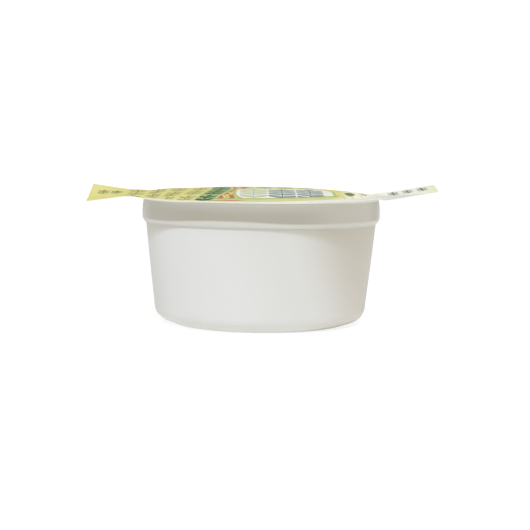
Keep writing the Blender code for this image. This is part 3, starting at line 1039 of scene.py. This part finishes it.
class Print:
    """Lays the print's shapes over one another, in millimetres.

    Its bands are arcs round a centre far to the left. A point's place across the bands is its distance
    from that centre less the bend radius, and its place along them is its angle round that centre times
    the bend radius.
    """

    def __init__(self, shader, colours):
        self.shader = shader
        self.colours = colours
        self.flat = shader.vector("DIVIDE", shader.object_point(), (MM, MM, MM))
        self.x, self.y, _ = shader.split(self.flat)
        reach = shader.math("ADD", self.x, BEND_RADIUS)
        square = shader.scaled(self.y, self.y, shader.times(reach, reach))
        self.across = shader.math("SUBTRACT", shader.math("SQRT", square), BEND_RADIUS)
        self.along = shader.times(shader.math("ARCTAN2", self.y, reach), BEND_RADIUS)
        self.bent = shader.join(self.across, self.along)
        self.leaf = leaf_group()
        self.spot = spot_group()
        self.result = colours.field

    def lay(self, mask, over):
        """Lays a colour on the print where the mask is 1."""
        self.result = self.shader.mix(mask, self.result, over)

    def window(self, value, low, high):
        """1 where the value lies from low to high."""
        return self.shader.between(value, low, high, WINDOW_EDGE)

    def band(self, low, high, over):
        """An arc-shaped band between two places across; gives its mask."""
        mask = self.shader.between(self.across, low, high, PRINT_EDGE)
        self.lay(mask, over)
        return mask

    def lay_leaf(self, plan, lean, half_size, shades, centre, window):
        """A leaf leaning by degrees off the upright, in up to three shades: whole, inside and veins."""
        leaf = self.shader.group(
            self.leaf,
            Point=plan,
            Centre=(*centre, 0.0),
            Turn=(0.0, 0.0, pi / 2 - radians(lean)),
            Half_size=(*half_size, 1.0),
        )
        for output, shade in zip(("Mask", "Inner", "Veins"), shades):
            self.lay(self.shader.times(leaf[output], window), shade)

    def distance(self, centre, half_size=(1.0, 1.0), power=2.0):
        """Distance from a centre as a share of the half size."""
        sizes = {"Centre": (*centre, 0.0), "Half_size": (*half_size, 1.0), "Power": power}
        return self.shader.group(self.spot, Point=self.flat, **sizes)["Distance"]

    def tiled(self, plan, cell, offset):
        """A plan repeated in cells of a width and a height, shifted by an offset."""
        moved = self.shader.vector("ADD", plan, (*offset, 0.0))
        half = (cell[0] / 2, cell[1] / 2, 1.0)
        return self.shader.vector("WRAP", moved, half, tuple(-size for size in half))

    def fern(self, plan, shades, window, cell, offset, leaflet, pitch, pairs=3, stem=0.25):
        """Columns of ferns, one in each cell: pairs of leaflets up a stem, and one leaflet on its tip."""
        shader = self.shader
        place = self.tiled(plan, cell, offset)
        x, y, _ = shader.split(place)
        top = pairs * pitch / 2
        upright = shader.times(self.window(y, -top, top), window)
        above = shader.math("ADD", y, top - pitch / 2)
        folded = shader.join(shader.math("ABSOLUTE", x), shader.math("WRAP", above, pitch / 2, -pitch / 2))
        beside = (leaflet[0] * sin(radians(LEAFLET_LEAN)), 0.0)
        self.lay_leaf(folded, LEAFLET_LEAN, leaflet, shades, beside, upright)
        self.lay_leaf(place, 0.0, (leaflet[0] * TIP_SHARE, leaflet[1]), shades, (0.0, top), window)
        self.lay(shader.times(self.window(x, -stem, stem), upright), shades[0])

    def field(self):
        """Yellow, turning cream towards the right."""
        self.lay(self.shader.ramp(self.across, *CREAM_ACROSS), self.colours.cream)

    def small_ferns(self):
        """Olive ferns on the yellow."""
        end = self.shader.ramp(self.along, *SMALL_FERNS_ALONG)
        window = self.shader.times(self.window(self.across, *SMALL_FERNS_ACROSS), end)
        self.fern(self.bent, (self.colours.olive,), window, **SMALL_FERNS)

    def large_ferns(self):
        """A green band with large dark ferns."""
        window = self.band(*GREEN_BAND, self.colours.green)
        self.fern(self.bent, (self.colours.forest,), window, **LARGE_FERNS)

    def zigzags(self):
        """Terracotta and tan zigzag lines on the yellow."""
        shader = self.shader
        self.band(*ZIGZAG_BAND, self.colours.field)
        across = shader.scaled(shader.math("PINGPONG", self.along, ZIGZAG_REACH), ZIGZAG_SLOPE, self.across)
        window = shader.between(self.across, *ZIGZAG_WINDOW, PRINT_EDGE)
        for low, high, over in ZIGZAG_LINES:
            mask = shader.between(across, low, high, PRINT_EDGE)
            self.lay(shader.times(mask, window), getattr(self.colours, over))

    def leaf_panel(self):
        """A rounded pale panel edged in lime, with a pale fern and two large dark ones."""
        shader, colours = self.shader, self.colours
        inside_rim = shader.ramp(self.distance(RIM_CENTRE), RIM_INNER + WINDOW_EDGE, RIM_INNER)
        for margin, over in ((PANEL_MARGIN, colours.lime), (0.0, colours.white)):
            half_size = (PANEL_HALF[0] + margin, PANEL_HALF[1] + margin)
            inside = shader.ramp(self.distance(PANEL_CENTRE, half_size, PANEL_POWER), *PANEL_EDGE)
            self.lay(shader.times(inside, inside_rim), over)
        dark = shader.ramp(self.x, *PANEL_DARK_X)
        edge = shader.mix(dark, colours.mist, colours.slate)
        leaf = shader.mix(dark, colours.field, colours.mist)
        window = shader.times(inside_rim, self.window(self.x, *PANEL_FERNS_X))
        self.fern(self.flat, (edge, leaf, edge), window, pairs=5, stem=0.12, **PANEL_FERNS)

    def cream_marks(self):
        """Single leaves and seeds on the cream."""
        colours = self.colours
        shades = (colours.forest, colours.forest, colours.olive)
        for centre, lean, half_size in CREAM_LEAVES:
            self.lay_leaf(self.flat, lean, half_size, shades, centre, CREAM_LEAF_SHARE)
        for centre in SEED_PLACES:
            self.lay_leaf(self.flat, 0.0, SEED_HALF, (colours.tan,), centre, SEED_SHARE)

    def border(self):
        """A yellow rim with olive and lime lines at its inner edge, and a terracotta line that tapers off."""
        shader, colours = self.shader, self.colours
        radius = self.distance(RIM_CENTRE)
        rim = shader.mix(shader.ramp(self.across, *CREAM_ACROSS), colours.rim, colours.cream)
        window = shader.times(shader.ramp(self.across, *RIM_START), shader.ramp(self.across, *RIM_END))
        taper = shader.scaled(shader.ramp(self.across, *TAPER_ACROSS), TAPER, radius)
        outer = RIM_TERRACOTTA[1]
        tapered = shader.times(window, shader.ramp(taper, outer, outer - WINDOW_EDGE))
        for low, high, over, within in (
            (RIM_INNER, RIM_OUTER, rim, window),
            (RIM_INNER, RIM_OLIVE, colours.olive, window),
            (*RIM_LIME, colours.lime, window),
            (*RIM_TERRACOTTA, colours.terracotta, tapered),
        ):
            self.lay(shader.times(shader.between(radius, low, high, PRINT_EDGE), within), over)

    def tabs(self):
        """Both tabs in the field's colours, with small ferns."""
        shader, colours = self.shader, self.colours
        plain = shader.mix(shader.ramp(self.x, *TABS_SPLIT), colours.field, colours.ivory)
        plain = shader.mix(shader.ramp(self.x, *TAB_CREAM_X), plain, colours.cream)
        self.lay(shader.ramp(self.distance(TABS_CENTRE, TABS_HALF), *TABS_EDGE), plain)
        right = shader.times(self.window(self.x, *RIGHT_TAB_FERNS_X), RIGHT_TAB_FERNS_SHARE)
        self.fern(self.flat, (colours.forest,), right, **RIGHT_TAB_FERNS)
        left = self.window(self.x, *LEFT_TAB_FERNS_X)
        self.fern(self.flat, (colours.leaf,), left, pairs=2, **LEFT_TAB_FERNS)

    def bare_margin(self):
        """White film where the print stops short, a little grey, partly painted shade: a crescent at the
        right, and the right tab's corner.
        """
        shader = self.shader
        printed = shader.ramp(self.distance(PRINTED_CENTRE), *PRINTED_EDGE)
        left_tab = shader.ramp(self.x, *LEFT_TAB_X)
        diagonal = shader.scaled(self.x, BARE_CORNER_SLOPE, self.y)
        right_tab = shader.times(shader.ramp(self.x, *RIGHT_TAB_X), shader.ramp(diagonal, *BARE_CORNER_EDGE))
        for tab in (left_tab, right_tab):
            printed = shader.math("MAXIMUM", printed, tab)
        self.lay(shader.math("SUBTRACT", 1.0, printed), self.colours.shaded_bare)


def film_print(colours, mottle):
    """Printed film: the shapes on the upper side, plain white underneath, a soft gloss all over."""
    material, shader, surface = new_material("film_print")
    design = Print(shader, colours)
    design.field()
    design.small_ferns()
    design.large_ferns()
    design.zigzags()
    design.leaf_panel()
    design.cream_marks()
    design.border()
    design.tabs()
    design.bare_margin()
    cloud = shader.group(mottle, Point=design.flat, Size=FILM_CLOUD)["Cloud"]
    grain = shader.group(mottle, Point=design.flat, Size=FILM_GRAIN)["Height"]
    shade = clouded(shader, cloud, design.result, colours.white, FILM_CLOUD_SHARE)
    side = shader.node("ShaderNodeAttribute", attribute_name="top_side")
    shade = shader.mix(side.outputs["Fac"], colours.underside, shade)
    finish_surface(shader, surface, shade, cloud, grain, FILM_FINISH)
    return material


# The floor: half its side, the size of its clouds, how much paler they are, and its roughness
FLOOR_HALF = 6.0
FLOOR_CLOUD = 0.4
FLOOR_PALER = 0.1
FLOOR_ROUGHNESS = 0.9


def floor_finish(studio, mottle):
    """Plain pale board, lit from inside so that shadows on it stay faint."""
    material, shader, surface = new_material("floor_board")
    cloud = shader.group(mottle, Point=shader.object_point(), Size=FLOOR_CLOUD)["Cloud"]
    paler = shader.mix(FLOOR_PALER, studio.floor_colour, WHITE)
    for name, value in (
        ("Base Color", shader.mix(cloud, studio.floor_colour, paler)),
        ("Roughness", FLOOR_ROUGHNESS),
        ("Specular IOR Level", 0.0),
        ("Emission Color", WHITE),
        ("Emission Strength", studio.floor_glow),
    ):
        shader.feed(surface.inputs[name], value)
    return material


class CUP_OT_mould(bpy.types.Operator):
    """Make the moulded plastic cup."""

    bl_idname = "portion_cup.mould_cup"
    bl_label = "Mould Cup"

    def execute(self, context):
        cup = context.scene.portion_cup
        points, faces = make_cup_mesh(cup, context.scene.portion_film)
        finished_piece("moulded_cup", points, faces, cup_plastic(cup, mottle_tree()), "cup")
        return {"FINISHED"}


class CUP_OT_film(bpy.types.Operator):
    """Make the printed peel film with its pull tabs."""

    bl_idname = "portion_cup.seal_film"
    bl_label = "Seal Film"

    def execute(self, context):
        scene = context.scene
        points, faces, top_side = make_film_mesh(scene.portion_cup, scene.portion_film)
        material = film_print(scene.portion_print, mottle_tree())
        piece = finished_piece("peel_film", points, faces, material, "lid")
        attribute = piece.data.attributes.new("top_side", "FLOAT", "POINT")
        attribute.data.foreach_set("value", top_side)
        return {"FINISHED"}


class CUP_OT_stage(bpy.types.Operator):
    """Set the floor, the lights and the camera."""

    bl_idname = "portion_cup.set_stage"
    bl_label = "Set Stage"

    def execute(self, context):
        studio = context.scene.portion_studio
        self.lay_floor(context.scene, studio)
        self.light(context.scene, studio)
        self.place_camera(context.scene, studio)
        return {"FINISHED"}

    def lay_floor(self, scene, studio):
        """One square face at the height of the cup's base."""
        half = FLOOR_HALF
        corners = [(-half, -half, 0.0), (half, -half, 0.0), (half, half, 0.0), (-half, half, 0.0)]
        mesh = bpy.data.meshes.new("floor")
        mesh.from_pydata(corners, [], [(0, 1, 2, 3)])
        mesh.materials.append(floor_finish(studio, mottle_tree()))
        floor = bpy.data.objects.new("floor", mesh)
        scene.collection.objects.link(floor)

    def light(self, scene, studio):
        """A faint sky that the camera sees as a bright backdrop, and three broad suns."""
        world = bpy.data.worlds.new("sky")
        world.use_nodes = True
        shader = Shader(world.node_tree)
        background = world.node_tree.nodes["Background"]
        seen = shader.node("ShaderNodeLightPath").outputs["Is Camera Ray"]
        shader.feed(background.inputs["Color"], WHITE)
        shader.feed(background.inputs["Strength"], shader.ramp_between(seen, studio.sky, BACKDROP))
        scene.world = world
        for name in ("key", "rim", "top"):
            self.add_sun(scene, name, *(getattr(studio, f"{name}_{part}") for part in SUN_PARTS))
        scene.view_settings.view_transform = "Standard"

    def add_sun(self, scene, name, energy, side, height, spread):
        """A sun that stands to a side of the camera and above the floor by two angles."""
        data = bpy.data.lights.new(name, "SUN")
        data.energy = energy
        data.angle = spread
        sun = bpy.data.objects.new(name, data)
        sun.rotation_euler = (pi / 2 - height, 0.0, -side)
        scene.collection.objects.link(sun)

    def place_camera(self, scene, studio):
        """The camera at its distance from the aim, looking down by its pitch and turned by its roll."""
        back = Vector((0.0, -cos(studio.pitch), sin(studio.pitch)))
        data = bpy.data.cameras.new("camera")
        data.lens = studio.lens
        data.sensor_width = 36.0
        data.shift_x = studio.shift_x
        data.shift_y = studio.shift_y
        data.clip_start = 0.01
        data.clip_end = 50.0
        camera = bpy.data.objects.new("camera", data)
        look = (-back).to_track_quat("-Z", "Y").to_matrix() @ Matrix.Rotation(studio.roll, 3, "Z")
        place = Matrix.Translation(Vector((0.0, 0.0, studio.aim)) + back * studio.distance)
        camera.matrix_world = place @ look.to_4x4()
        scene.collection.objects.link(camera)
        scene.camera = camera


class CUP_PT_panel(bpy.types.Panel):
    """Lists the pieces' settings and the buttons that make them."""

    bl_label = "Portion Cup"
    bl_idname = "CUP_PT_panel"
    bl_space_type = "VIEW_3D"
    bl_region_type = "UI"
    bl_category = "Portion Cup"

    def draw(self, context):
        for operator, group in PIECES:
            box = self.layout.box()
            box.operator(operator)
            for name in group:
                settings = getattr(context.scene, name)
                for prop in settings.bl_rna.properties:
                    if prop.identifier not in {"rna_type", "name"}:
                        box.prop(settings, prop.identifier)


SUN_PARTS = ("strength", "side", "height", "spread")
PIECES = (
    ("portion_cup.mould_cup", ("portion_cup",)),
    ("portion_cup.seal_film", ("portion_film", "portion_print")),
    ("portion_cup.set_stage", ("portion_studio",)),
)
SETTINGS = (
    ("portion_cup", CupSettings),
    ("portion_film", FilmSettings),
    ("portion_print", PrintSettings),
    ("portion_studio", StudioSettings),
)
OPERATORS = (CUP_OT_mould, CUP_OT_film, CUP_OT_stage)


def register():
    for name, group in SETTINGS:
        bpy.utils.register_class(group)
        setattr(bpy.types.Scene, name, PointerProperty(type=group))
    for cls in OPERATORS + (CUP_PT_panel,):
        bpy.utils.register_class(cls)


def unregister():
    for cls in reversed(OPERATORS + (CUP_PT_panel,)):
        bpy.utils.unregister_class(cls)
    for name, group in reversed(SETTINGS):
        delattr(bpy.types.Scene, name)
        bpy.utils.unregister_class(group)


def main():
    """Registers the classes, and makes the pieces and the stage."""
    register()
    bpy.ops.portion_cup.mould_cup()
    bpy.ops.portion_cup.seal_film()
    bpy.ops.portion_cup.set_stage()


if __name__ == "__main__":
    main()
